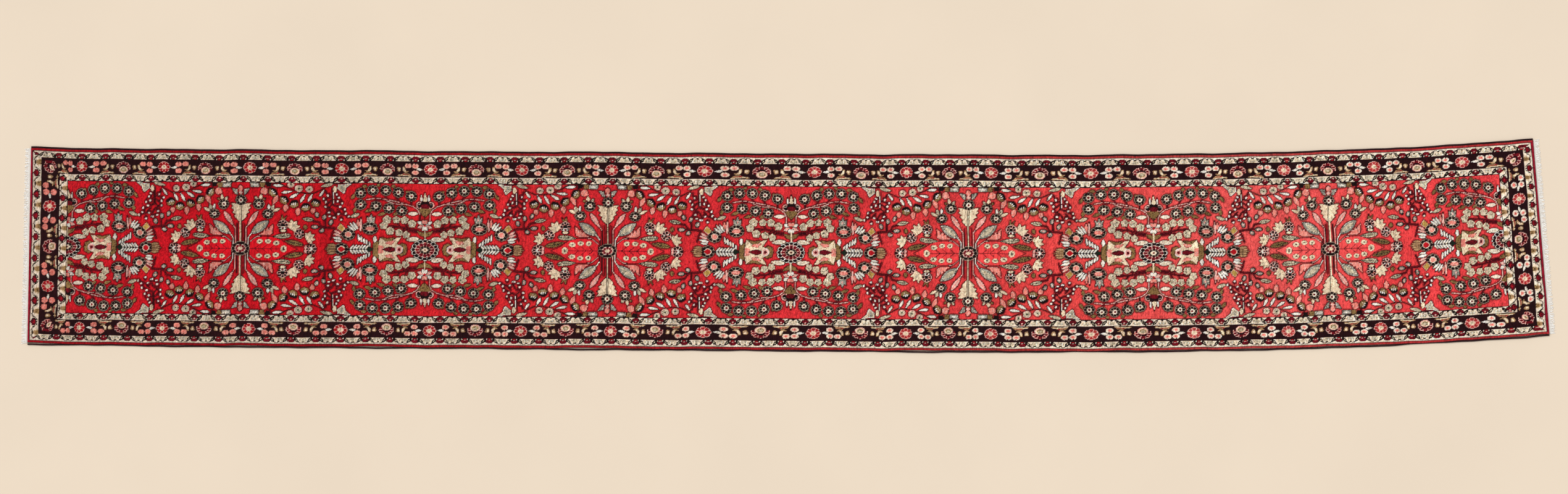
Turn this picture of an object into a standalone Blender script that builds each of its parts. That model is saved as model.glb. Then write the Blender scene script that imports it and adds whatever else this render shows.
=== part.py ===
"""Hand-knotted runner rug: cotton foundation, wool pile laid out in field and borders, corded selvedges, web ends
and cut fringes. The rug lies flat, and either end can be turned back over the pile at a fold line.

Frame: metres, +Z up, +X along the rug to its right end, +Y to its far side, origin on the floor under the middle.
A place on the rug is (u, v): u along the rug from the middle, v across it from the centre line.
"""
import math

import bpy
import bmesh
from mathutils import Matrix, Vector

# Driving dimensions
LENGTH = 6.18            # knotted length, without web ends and fringes
WIDTH = 0.81             # over both selvedges
FOUNDATION = 0.0030      # thickness of the warps and wefts
PILE = 0.0060            # height of the cut wool above the foundation
GAP = 0.0003             # play between neighbouring pieces
SELVEDGE_RADIUS = 0.0036
CORE_RADIUS = 0.0018
WRAP_WALL = 0.0014
WEB_LENGTH = 0.008       # flat-woven web past the last row of knots
WEB_THICKNESS = 0.0020
FRINGE_LENGTH = 0.016
FRINGE_HEAD = 0.003      # where the cut warps are still held side by side
TASSEL_PITCH = 0.015
TASSEL_WIDTH = 0.011
TASSEL_TIP = 0.007
FOLD = 1.60              # distance of either fold line from the middle, so that the turned ends don't meet
FOLD_CLEARANCE = 0.0010  # from the top of the pile to the axis of a fold

# The bands of the pile from the edge inwards: name, width along the sides, width along the ends
BANDS = (
    ("edge_stripe", 0.012, 0.012),
    ("outer_guard", 0.027, 0.034),
    ("main_border", 0.063, 0.073),
    ("inner_guard", 0.027, 0.035),
)

# The rug was knotted a little crooked, so its centre line bows: y = sum of BOW[n] * t ** n, with t = u / half length
BOW = (-0.0283, -0.0237, 0.0102, 0.0414, 0.0349)
SHIFT_X = -0.013         # sets the middle of the outline on the origin, with the first term of BOW

STATIONS_PER_METRE = 5
SIDES = (("near", -1), ("far", 1))
SECTIONS = (("left", -LENGTH / 2, -FOLD), ("middle", -FOLD, FOLD), ("right", FOLD, LENGTH / 2))
TOP = FOUNDATION + GAP + PILE

COLOURS = {
    "cotton": (0.79, 0.74, 0.65),
    "field_red": (0.62, 0.03, 0.03),
    "border_brown": (0.035, 0.012, 0.014),
    "guard_ivory": (0.66, 0.58, 0.42),
    "edge_red": (0.32, 0.02, 0.025),
    "selvedge_black": (0.02, 0.012, 0.014),
}
BAND_COLOURS = {
    "edge_stripe": "edge_red",
    "outer_guard": "guard_ivory",
    "main_border": "border_brown",
    "inner_guard": "guard_ivory",
}


def bow(u):
    """(y, slope) of the centre line at u."""
    t = u / (LENGTH / 2)
    y = sum(c * t**n for n, c in enumerate(BOW))
    slope = sum(n * c * t ** (n - 1) for n, c in enumerate(BOW) if n) / (LENGTH / 2)
    return y, slope


def place(u, v, z=0.0):
    """The point of the lying rug at (u, v)."""
    y, slope = bow(u)
    run = math.hypot(1, slope)
    return Vector((u + SHIFT_X - v * slope / run, y + v / run, z))


def clear_scene():
    for obj in list(bpy.data.objects):
        bpy.data.objects.remove(obj)


def new_collection(name):
    made = bpy.data.collections.new(name)
    bpy.context.scene.collection.children.link(made)
    return made


def wool_or_cotton(name):
    """The piece's plain Principled material, made once."""
    material = bpy.data.materials.get(name)
    if material is None:
        material = bpy.data.materials.new(name)
        material.use_nodes = True
        shader = material.node_tree.nodes["Principled BSDF"]
        shader.inputs["Base Color"].default_value = (*COLOURS[name], 1)
        shader.inputs["Roughness"].default_value = 0.9
        shader.inputs["Metallic"].default_value = 0.0
    return material


def add(name, data, colour, rug):
    data.materials.append(wool_or_cotton(colour))
    obj = bpy.data.objects.new(name, data)
    rug.objects.link(obj)
    return obj


def thicken(obj, thickness):
    """Solidify that grows the sheet upwards, with a closed rim."""
    wall = obj.modifiers.new("thickness", "SOLIDIFY")
    wall.thickness = thickness
    wall.offset = 1
    wall.use_even_offset = True
    return obj


def slab(name, corners, z, thickness, colour, rug):
    """A flat piece that follows the bow. corners are (u, v) at left near, right near, right far and left far."""
    (u_ln, v_ln), (u_rn, v_rn), (u_rf, v_rf), (u_lf, v_lf) = corners
    stations = max(1, round((max(u_rn, u_rf) - min(u_ln, u_lf)) * STATIONS_PER_METRE))
    mesh = bpy.data.meshes.new(name)
    sheet = bmesh.new()
    bmesh.ops.create_grid(sheet, x_segments=stations, y_segments=1, size=0.5)
    for vert in sheet.verts:
        a, b = vert.co.x + 0.5, vert.co.y + 0.5
        u = (1 - b) * ((1 - a) * u_ln + a * u_rn) + b * ((1 - a) * u_lf + a * u_rf)
        v = (1 - b) * ((1 - a) * v_ln + a * v_rn) + b * ((1 - a) * v_lf + a * v_rf)
        vert.co = place(u, v, z)
    sheet.to_mesh(mesh)
    sheet.free()
    return thicken(add(name, mesh, colour, rug), thickness)


def rectangle(u0, u1, v0, v1):
    """Corners of a piece between two rows and two warps, drawn in by half the play all round."""
    g = GAP / 2
    return (u0 + g, v0 + g), (u1 - g, v0 + g), (u1 - g, v1 - g), (u0 + g, v1 - g)


def make_foundation(rug):
    half = WIDTH / 2 - 2 * SELVEDGE_RADIUS
    for section, u0, u1 in SECTIONS:
        slab(f"foundation_{section}", rectangle(u0, u1, -half, half), 0, FOUNDATION, "cotton", rug)


def make_pile(name, corners, colour, rug):
    slab(name, corners, FOUNDATION + GAP, PILE, colour, rug)


def make_borders(rug):
    """The pile of every band: along both sides in three lengths, and across both ends, mitred at the corners."""
    g = GAP / 2
    u_out, v_out = LENGTH / 2, WIDTH / 2 - 2 * SELVEDGE_RADIUS
    for band, along, across in BANDS:
        colour = BAND_COLOURS[band]
        u_in, v_in = u_out - across, v_out - along
        for side, sign in SIDES:
            v_low, v_high = sorted((sign * v_in, sign * v_out))
            ends = {-1: (u_out, u_in), 1: (u_in, u_out)}[sign]  # |u| of the mitre at v_low and at v_high
            for section, u0, u1 in SECTIONS:
                near_left, far_left = (-ends[0] + g, -ends[1] + g) if section == "left" else (u0 + g, u0 + g)
                near_right, far_right = (ends[0] - g, ends[1] - g) if section == "right" else (u1 - g, u1 - g)
                corners = (
                    (near_left, v_low + g),
                    (near_right, v_low + g),
                    (far_right, v_high - g),
                    (far_left, v_high - g),
                )
                make_pile(f"{band}_{side}_{section}", corners, colour, rug)
        u_rim, v_rim, u_seam, v_seam = u_out - g, v_out - 2 * g, u_in + g, v_in - 2 * g
        left = ((-u_rim, -v_rim), (-u_seam, -v_seam), (-u_seam, v_seam), (-u_rim, v_rim))
        right = ((u_seam, -v_seam), (u_rim, -v_rim), (u_rim, v_rim), (u_seam, v_seam))
        make_pile(f"{band}_end_left", left, colour, rug)
        make_pile(f"{band}_end_right", right, colour, rug)
        u_out, v_out = u_in, v_in
    return u_out, v_out


def make_field(half_length, half_width, rug):
    for section, u0, u1 in SECTIONS:
        u0, u1 = max(u0, -half_length), min(u1, half_length)
        make_pile(f"field_pile_{section}", rectangle(u0, u1, -half_width, half_width), "field_red", rug)


def cord(name, u0, u1, v, radius, colour, rug, capped):
    """A round cord along one edge."""
    steps = max(2, round((u1 - u0) * STATIONS_PER_METRE) + 1)
    data = bpy.data.curves.new(name, "CURVE")
    data.dimensions = "3D"
    data.bevel_depth = radius
    data.bevel_resolution = 2
    data.use_fill_caps = capped
    spline = data.splines.new("POLY")
    spline.points.add(steps - 1)
    for n, point in enumerate(spline.points):
        u = u0 + (u1 - u0) * n / (steps - 1)
        point.co = (*place(u, v, SELVEDGE_RADIUS + GAP / 2), 1)
    return add(name, data, colour, rug)


def make_selvedges(rug):
    """Each edge is a bundle of warps, wrapped in dark wool."""
    for side, sign in SIDES:
        v = sign * (WIDTH / 2 - SELVEDGE_RADIUS + GAP / 2)
        for section, u0, u1 in SECTIONS:
            start, end = u0 + GAP / 2, u1 - GAP / 2
            cord(f"selvedge_core_{side}_{section}", start, end, v, CORE_RADIUS, "cotton", rug, True)
            wrap = cord(
                f"selvedge_wrap_{side}_{section}", start, end, v, SELVEDGE_RADIUS - GAP, "selvedge_black", rug, False
            )
            wall = wrap.modifiers.new("wall", "SOLIDIFY")
            wall.thickness = WRAP_WALL
            wall.offset = -1


def make_webs(rug):
    """The flat-woven web between the last knots and the fringe."""
    half = WIDTH / 2 - 2 * SELVEDGE_RADIUS
    start, end = LENGTH / 2, LENGTH / 2 + WEB_LENGTH
    slab("web_end_left", rectangle(-end, -start, -half, half), 0, WEB_THICKNESS, "cotton", rug)
    slab("web_end_right", rectangle(start, end, -half, half), 0, WEB_THICKNESS, "cotton", rug)


def fringe_outline():
    """A comb in its own plane: x across the rug, y away from it."""
    half = WIDTH / 2 - 2 * SELVEDGE_RADIUS - GAP
    count = int(2 * half // TASSEL_PITCH)
    first = -count * TASSEL_PITCH / 2 + TASSEL_PITCH / 2
    points = [(half, 0), (-half, 0), (-half, FRINGE_HEAD)]
    for n in range(count):
        middle = first + n * TASSEL_PITCH
        points += [
            (middle - TASSEL_WIDTH / 2, FRINGE_HEAD),
            (middle - TASSEL_TIP / 2, FRINGE_LENGTH),
            (middle + TASSEL_TIP / 2, FRINGE_LENGTH),
            (middle + TASSEL_WIDTH / 2, FRINGE_HEAD),
        ]
    points.append((half, FRINGE_HEAD))
    return points


def make_fringe(name, end, rug):
    """end is -1 at the left and 1 at the right."""
    data = bpy.data.curves.new(name, "CURVE")
    data.dimensions = "2D"
    data.fill_mode = "BOTH"
    data.extrude = WEB_THICKNESS / 2
    outline = fringe_outline()
    spline = data.splines.new("POLY")
    spline.points.add(len(outline) - 1)
    for point, (x, y) in zip(spline.points, outline):
        point.co = (x, y, 0, 1)
    spline.use_cyclic_u = True
    obj = add(name, data, "cotton", rug)
    u = end * (LENGTH / 2 + WEB_LENGTH + GAP / 2)
    slope = bow(u)[1]
    obj.location = place(u, 0, WEB_THICKNESS / 2)
    obj.rotation_euler = (0, 0, math.atan(slope) - end * math.pi / 2)


def make_fold(section, u, rug):
    """Hangs the pieces of one end on an empty whose Y axis is the fold line."""
    fold = bpy.data.objects.new(f"fold_{section}", None)
    rug.objects.link(fold)
    turn = Matrix.Rotation(math.atan(bow(u)[1]), 4, "Z")
    place_and_turn = Matrix.Translation(place(u, 0, TOP + FOLD_CLEARANCE)) @ turn
    fold.matrix_world = place_and_turn
    for obj in rug.objects:
        if obj.name.endswith(f"_{section}") and obj is not fold:
            obj.parent = fold
            obj.matrix_parent_inverse = place_and_turn.inverted()


def main():
    clear_scene()
    rug = new_collection("runner_rug")
    make_foundation(rug)
    field_half_length, field_half_width = make_borders(rug)
    make_field(field_half_length, field_half_width, rug)
    make_selvedges(rug)
    make_webs(rug)
    make_fringe("fringe_left", -1, rug)
    make_fringe("fringe_right", 1, rug)
    make_fold("left", -FOLD, rug)
    make_fold("right", FOLD, rug)


main()
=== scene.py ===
"""Looks of a hand-knotted wool runner rug: knots in their dyes, overcast edges, webs, fringes and back."""
import math

import bpy
import numpy as np
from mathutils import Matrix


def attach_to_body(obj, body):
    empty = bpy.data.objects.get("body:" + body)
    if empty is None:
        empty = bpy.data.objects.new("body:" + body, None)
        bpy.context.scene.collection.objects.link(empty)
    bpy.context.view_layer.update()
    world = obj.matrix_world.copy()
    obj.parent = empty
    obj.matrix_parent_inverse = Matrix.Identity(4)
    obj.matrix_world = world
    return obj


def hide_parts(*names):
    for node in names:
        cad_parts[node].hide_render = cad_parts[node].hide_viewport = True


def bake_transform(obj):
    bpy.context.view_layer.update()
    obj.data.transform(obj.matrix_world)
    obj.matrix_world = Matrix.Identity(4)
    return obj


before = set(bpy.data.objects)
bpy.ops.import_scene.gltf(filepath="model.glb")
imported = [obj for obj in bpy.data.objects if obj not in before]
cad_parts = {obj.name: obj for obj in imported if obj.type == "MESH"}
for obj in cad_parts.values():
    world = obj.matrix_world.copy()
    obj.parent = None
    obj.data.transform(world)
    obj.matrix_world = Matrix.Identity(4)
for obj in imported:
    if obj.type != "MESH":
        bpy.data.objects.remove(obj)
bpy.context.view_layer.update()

# Sizes, in metres
LENGTH = 6.18                   # of the pile
HALF_LENGTH = LENGTH / 2
CORD_RADIUS = 0.0036            # of the overcast edge
HALF_PILE = 0.405 - 2 * CORD_RADIUS
FOUNDATION_TOP = 0.003
PILE_FOOT = 0.0033              # the knots stand on the foundation from here
PILE_TOP = 0.0093
SHORN = 0.0004                  # how much lower the corroded dark wool stands
WEB_LENGTH = 0.008
WEB_THICKNESS = 0.002
FRINGE_LENGTH = 0.016
STRAND_LENGTH = 1.15 * FRINGE_LENGTH   # of a fringe strand laid straight
STRAND_PITCH = 0.0014
STRAND_RADIUS = 0.0009
WRAP_PITCH = 0.0045             # from wrap to wrap of the overcast edge
WRAP_DEPTH = 0.0005
STEPS_PER_WRAP = 3.0
FLOOR_TOP = -0.0005             # just below the rug, which rests on z = 0
SIDE_BANDS = (0.012, 0.027, 0.063, 0.027)  # edge stripe, guard, main border and guard, along the sides
END_BANDS = (0.012, 0.034, 0.073, 0.035)   # the same across the ends
BAND_NAMES = ("edge_stripe", "outer_guard", "main_border", "inner_guard")
BAND_SLOTS = ("edge_red", "guard_ivory", "border_brown", "guard_ivory")

VIEW_CENTRE = (-0.018, -0.006)  # the point below the camera
VIEW_WIDTH = 6.408              # the floor that the frame takes in, at the rug's height

# The knots: rows along the rug and columns across it
ROWS = 2026
COLUMNS = 318

# The rug was knotted a little crooked: its centre line runs through y = sum of BOW[n] * t ** n,
# where t = u / HALF_LENGTH
BOW = (-0.0283, -0.0237, 0.0102, 0.0414, 0.0349)
SHIFT_X = -0.013


def place(u, v, z):
    """Points u along the rug's centre line and v across it, as an array of x, y, z."""
    u, v, z = np.broadcast_arrays(*(np.asarray(a, float) for a in (u, v, z)))
    t = u / HALF_LENGTH
    y = sum(c * t**n for n, c in enumerate(BOW))
    slope = sum(n * c * t ** (n - 1) for n, c in enumerate(BOW) if n) / HALF_LENGTH
    run = np.hypot(1, slope)
    return np.stack((u + SHIFT_X - v * slope / run, y + v / run, z), -1)


def waver(x, wavelength, seed):
    """A smooth aimless curve about 1 high, as a weaver's hand makes of a straight line."""
    phases = np.random.default_rng(seed).uniform(0, 2 * math.pi, 4)
    parts = zip((0.61, 1, 1.73, 2.9), phases)
    return sum(np.sin(2 * math.pi * x / (wavelength * k) + phase) for k, phase in parts) / 2


def linear(hexes):
    """sRGB hex colours as linear values."""
    srgb = np.array([[int(h[i:i + 2], 16) for i in (1, 3, 5)] for h in np.atleast_1d(hexes)]) / 255
    return np.where(srgb <= 0.04045, srgb / 12.92, ((srgb + 0.055) / 1.055) ** 2.4)


# The design, in mm

STEP = 1.25              # the drawing's own grid, in mm: half a knot

# Dyes, as the wool looks in the light: common name, sRGB
DYES = {
    "red": "#D2252E",            # the field's ground, which the abrash recolours
    "deep": "#B5101E",           # crimson shade round the motifs
    "rose": "#D9504C",           # inside the mandorlas
    "black": "#170B0C",
    "brown": "#240A0E",
    "dark": "#3A060C",
    "maroon": "#6E0C1A",
    "crimson": "#B0141F",
    "salmon": "#EA8577",
    "pink": "#EDB7AC",
    "blossom": "#F2CDB8",        # which the abrash recolours too
    "heart": "#D65A50",
    "white": "#EFE9DF",
    "bone": "#9C8675",
    "ivory": "#F6E2D0",
    "cream": "#F2D8B8",
    "sage": "#B8AC93",
    "grey": "#8E8A80",
    "olive": "#86683F",
    "gold": "#B4924A",
    "green": "#18241A",
    "stripe": "#B83238",
    "crimson_dark": "#8E1529",
    "tan": "#B08A64",
}
CODE = {name: number for number, name in enumerate(DYES)}


class Drawing:
    """One repeat of the design, from (0, 0) at its corner: a fine grid of dyes, in mm."""

    def __init__(self, length, width, ground):
        self.length, self.width = length, width
        xs = np.arange(STEP / 2, length, STEP)
        ys = np.arange(STEP / 2, width, STEP)
        self.x, self.y = np.meshgrid(xs, ys, indexing="ij")
        self.dye = np.full(self.x.shape, CODE[ground], np.int8)

    def fill(self, distance, dye, edge=None, edge_width=2.6):
        """Paints where distance is below zero, on top of an edge of another dye round it."""
        if edge:
            self.dye[distance < edge_width] = CODE[edge]
        self.dye[distance < 0] = CODE[dye]

    def from_point(self, at, turn=0.0):
        """The grid's offsets from a point, in axes turned by so many degrees."""
        a = np.radians(turn)
        dx, dy = self.x - at[0], self.y - at[1]
        return dx * np.cos(a) + dy * np.sin(a), dy * np.cos(a) - dx * np.sin(a)

    def oval(self, at, rx, ry, dye, edge=None, turn=0.0, edge_width=2.6):
        dx, dy = self.from_point(at, turn)
        self.fill((np.hypot(dx / rx, dy / ry) - 1) * min(rx, ry), dye, edge, edge_width)

    def stroke(self, points, width, dye, edge=None, edge_width=2.2):
        """A line of one width through the points."""
        distance = np.full(self.x.shape, 1e9)
        for (x0, y0), (x1, y1) in zip(points, points[1:]):
            dx, dy = x1 - x0, y1 - y0
            t = np.clip(((self.x - x0) * dx + (self.y - y0) * dy) / max(dx * dx + dy * dy, 1e-6), 0, 1)
            distance = np.minimum(distance, np.hypot(self.x - x0 - t * dx, self.y - y0 - t * dy))
        self.fill(distance - width / 2, dye, edge, edge_width)

    def leaf(self, base, tip, half, dye, edge=None, belly=0.45, edge_width=2.4, vein=None):
        """A pointed leaf, widest at belly of its length from the base, with or without veins."""
        dx, dy = tip[0] - base[0], tip[1] - base[1]
        run = np.hypot(dx, dy)
        along = ((self.x - base[0]) * dx + (self.y - base[1]) * dy) / run**2
        across = np.abs((self.x - base[0]) * dy - (self.y - base[1]) * dx) / run
        s = np.clip(along, 0, 1) ** (np.log(0.5) / np.log(belly))
        past = np.maximum(np.maximum(-along, along - 1), 0) * run
        outside = across - half * np.sin(np.pi * s) ** 0.8
        self.fill(np.hypot(np.maximum(outside, 0), past) + np.minimum(outside, 0), dye, edge, edge_width)
        if vein:
            slanting = np.abs((along * run - across + 2) % 8 - 4) < 0.9
            self.dye[(outside < -1.2) & (past == 0) & ((across < 1) | slanting)] = CODE[vein]

    def patch(self, points, dye, edge=None, edge_width=2.4):
        """A straight-sided shape."""
        inside = np.zeros(self.x.shape, bool)
        distance = np.full(self.x.shape, 1e9)
        for (x0, y0), (x1, y1) in zip(points, points[1:] + points[:1]):
            dx, dy = x1 - x0, y1 - y0
            if dy:
                crosses = (self.y < y0) != (self.y < y1)
                inside ^= crosses & (self.x < x0 + (self.y - y0) * dx / dy)
            t = np.clip(((self.x - x0) * dx + (self.y - y0) * dy) / (dx * dx + dy * dy), 0, 1)
            distance = np.minimum(distance, np.hypot(self.x - x0 - t * dx, self.y - y0 - t * dy))
        self.fill(np.where(inside, -distance, distance), dye, edge, edge_width)

    def outline(self, ground, dye, steps):
        """Knots of the ground that touch a pale or red motif, so many steps deep, take this dye."""
        free = self.dye == CODE[ground]
        motif = ~np.isin(self.dye, [CODE[name] for name in (ground, "dark", "black", "brown", "green")])
        for _ in range(steps):
            grown = motif.copy()
            grown[1:] |= motif[:-1]
            grown[:-1] |= motif[1:]
            grown[:, 1:] |= motif[:, :-1]
            grown[:, :-1] |= motif[:, 1:]
            motif = grown
        self.dye[free & motif] = CODE[dye]

    def rosette(self, at, rx, ry=None, petal="black", rim="bone", heart="maroon", petals=8, turn=0.0,
                ring=0.42, core=0.22, spoke=1.7):
        """A round flower: petals with pale spokes between them, a pale scalloped rim, a ring and a heart."""
        ry = ry or rx
        dx, dy = self.from_point(at, turn)
        r = np.hypot(dx / rx, dy / ry)
        angle = np.arctan2(dy / ry, dx / rx)
        valley = np.abs(np.cos(petals * angle / 2))
        scallop = 1 - 0.09 * (1 - valley) ** 2
        size = min(rx, ry)
        self.dye[r < scallop] = CODE[rim]
        from_spoke = valley * r * size * 2 / petals
        self.dye[(r < scallop - 1.8 / size) & (r > ring) & (from_spoke > spoke / 2)] = CODE[petal]
        if rim == "bone":
            self.dye[r < ring] = CODE["ivory"]
        self.dye[r < core] = CODE[heart]


def draw_spray(d):
    """Two rows of dark rosettes on a twig."""
    d.stroke([(20, 118), (20, 146), (30, 165), (48, 178), (69, 185), (101, 194), (148, 204), (199, 210),
              (238, 204)], 3.2, "pink", "dark", 2.2)
    d.stroke([(48, 178), (79, 187), (126, 188), (156, 200)], 3.2, "pink", "dark", 2.2)
    for twig in ([(58, 182), (57, 205)], [(101, 194), (116, 214)], [(148, 204), (165, 222)],
                 [(199, 210), (212, 222)], [(176, 208), (205, 198)], [(120, 188), (140, 180)]):
        d.stroke(twig, 2.8, "maroon", "dark", 1.2)
    for base, tip in (((76, 240), (62, 228)), ((232, 256), (256, 258)), ((283, 227), (298, 207)),
                      ((212, 165), (242, 154)), ((160, 150), (190, 142)), ((111, 150), (128, 143)),
                      ((281, 173), (284, 151)), ((134, 262), (118, 257)), ((180, 266), (195, 260))):
        d.leaf(base, tip, 6, "olive", "dark")
    for at in ((56, 220), (107, 235), (158, 242), (210, 242), (260, 231),
               (94, 161), (146, 170), (199, 178), (261, 184)):
        d.rosette(at, 22.5, 21)


def draw_lily(d):
    """The lily on the compartment's cross axis, with the white-tipped leaf beside it."""
    d.leaf((28, 149), (70, 148), 7.5, "ivory", "dark")
    d.patch([(0, 178), (29, 172), (20, 156), (0, 134)], "olive", "dark")
    d.oval((23, 184), 13.5, 14, "pink", "dark", edge_width=1.4)
    d.oval((23, 184), 10, 10.5, "black")
    d.stroke([(17, 190), (29, 186)], 2.6, "grey")
    d.oval((0, 190), 17, 13, "black", "dark", edge_width=1.4)
    d.oval((0, 180), 16, 9, "maroon", "dark", edge_width=1.6)
    d.patch([(0, 236), (10, 203), (0, 199)], "cream", "dark")
    d.leaf((15, 200), (15, 226), 4, "white", "dark", belly=0.3)
    d.stroke([(0, 143), (0, 120)], 3.5, "dark")


def draw_cross_flower(d):
    """The small white flower on the cross axis, and the boat under it."""
    for base, tip, dye in (((3, 103), (30, 115), "white"), ((3, 99), (30, 91), "pink"),
                           ((0, 106), (10, 123), "salmon"), ((0, 97), (10, 80), "white")):
        d.leaf(base, tip, 7, dye, "black")
    d.oval((0, 100), 6, 5, "crimson")
    d.patch([(0, 70), (32, 77), (22, 62), (5, 54), (0, 54)], "olive", "dark")
    d.stroke([(0, 80), (0, 44)], 4.5, "cream")
    d.leaf((24, 45), (78, 40), 9, "ivory", "black", vein="sage")


def draw_compartment_rosette(d):
    """The big rosette in the middle of a compartment: three rings of petals."""
    d.rosette((0, 0), 57, 44, petals=16, rim="white", ring=0.7, core=0.0)
    d.rosette((0, 0), 41, 31, petal="maroon", petals=12, rim="pink", ring=0.55, core=0.0)
    d.rosette((0, 0), 24, 18, petals=8, heart="cream", ring=0.5, core=0.4)
    d.oval((0, 0), 5, 4, "maroon")


def draw_leaf_clump(d, at, r):
    """A sage rose leaf: a ragged pale leaf with lighter flecks."""
    dx, dy = d.from_point(at, 20)
    angle = np.arctan2(dy, dx)
    ragged = r * (0.78 + 0.22 * np.abs(np.cos(2.5 * angle)))
    distance = np.hypot(dx, dy) - ragged
    d.fill(distance, "sage", "dark", 1.2)
    d.dye[(distance < 0) & (distance > -1.6)] = CODE["cream"]
    for k, dye in enumerate(("pink", "green", "white")):
        a = np.radians(35 + 120 * k)
        spot = (at[0] + 0.4 * r * np.cos(a), at[1] + 0.4 * r * np.sin(a))
        d.oval(spot, 2.6, 1.8, dye, turn=60 * k)


def draw_leaf_spray(d):
    """Two branches of sage leaves beside the compartment's axis."""
    d.stroke([(30, 80), (60, 84), (100, 92), (150, 96)], 3.4, "maroon", "dark", 1.6)
    d.stroke([(34, 72), (58, 76), (90, 78)], 3, "maroon", "dark", 1.4)
    for twig in ([(70, 86), (82, 112)], [(100, 92), (112, 112)], [(84, 80), (100, 76)],
                 [(120, 94), (134, 82)]):
        d.stroke(twig, 2.8, "maroon", "dark", 1.2)
    for at, r in (((52, 106), 17), ((82, 121), 16), ((115, 122), 15), ((153, 122), 17.5),
                  ((77, 61), 15), ((106, 70), 15), ((141, 76), 17), ((166, 98), 16)):
        draw_leaf_clump(d, at, r)


def draw_vase(d):
    """The butterfly-shaped vase on the long axis."""
    d.patch([(72, 0), (77, 19), (93, 26), (103, 21), (92, 11), (91, 0)], "olive", "dark")
    d.patch([(98, 51), (115, 49), (129, 38), (149, 40), (161, 35), (180, 50), (187, 29),
             (187, 0), (88, 0), (93, 13), (116, 23)], "cream", "dark")
    d.patch([(121, 35), (148, 39), (159, 25), (136, 20)], "salmon", "maroon", 1.5)
    d.patch([(168, 15), (187, 18), (187, 0), (167, 0)], "salmon")
    d.patch([(124, 49), (149, 44), (177, 50), (159, 35), (136, 35)], "olive", "dark", 1.5)
    d.leaf((115, 0), (169, 0), 9, "maroon", "black")
    d.oval((103, 2), 12, 12, "pink", "white")
    d.oval((103, 2), 6, 6, "maroon")
    d.patch([(187, 35), (204, 33), (209, 16), (208, 0), (190, 0)], "olive", "black")


def draw_bouquet(d):
    """What stands in the vase: large rosettes, a crown, feathers and finger petals."""
    d.patch([(204, 110), (201, 135), (210, 127), (217, 146), (224, 127), (233, 135), (230, 110)],
            "grey", "black")
    d.oval((216, 121), 2.5, 5, "pink")
    d.rosette((221, 86), 32, 25, ring=0.5, core=0.0, petals=10)
    d.oval((221, 85), 17, 8, "salmon", "maroon", edge_width=1.2)
    d.leaf((202, 29), (202, 56), 7, "white", "black")
    for k in range(5):
        x, y = 222 + 11 * k, 13 + 5 * k
        d.leaf((x, y), (x + 4, y + 18 + 3 * k), 3.8, "white", "black")
    d.leaf((259, 73), (257, 129), 4, "pink", "dark")
    d.leaf((268, 90), (269, 124), 5, "salmon", "dark")
    for base, tip in (((270, 82), (289, 112)), ((278, 79), (303, 110)), ((284, 76), (311, 98))):
        d.leaf(base, tip, 4.5, "white", "black")
    d.leaf((264, 146), (301, 132), 7.5, "sage", "green")
    d.rosette((310, 62), 28, 24, heart="salmon", ring=0.5, core=0.42)
    d.patch([(324, 86), (340, 104), (352, 86), (334, 72)], "gold", "pink", 1.6)
    d.leaf((339, 61), (367, 78), 4.5, "pink", "dark")
    d.leaf((338, 53), (368, 63), 4.5, "pink", "dark")
    d.leaf((334, 40), (372, 49), 5.5, "white", "black")
    d.leaf((338, 32), (366, 35), 4, "white", "black")
    for k in range(3):
        d.leaf((360, 8 * k), (402 - 5 * k, 9 * k), 5, "tan", "dark", belly=0.4)


def draw_axis_feather(d):
    """The black feather along the axis, from the vase to its last rosette."""
    d.stroke([(209, 0), (308, 0)], 3.5, "black")
    d.leaf((213, 3), (240, 6), 5, "green", "dark")
    for k in range(6):
        x, y = (233 + 12 * k, 0)
        d.leaf((x + 9, y + 1), (x - 7, y + 19), 3.4, "white", "black")
    d.rosette((336, 0), 29, 26, heart="crimson", ring=0.52, core=0.44)


def draw_bud(d, at, turn):
    """A small dark bud with a white cheek."""
    d.oval(at, 6.5, 5.5, "maroon", "dark", turn, 2.4)
    a = np.radians(turn)
    d.oval((at[0] - 3.5 * np.cos(a), at[1] - 3.5 * np.sin(a)), 3.6, 4.6, "white", turn=turn)


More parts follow.
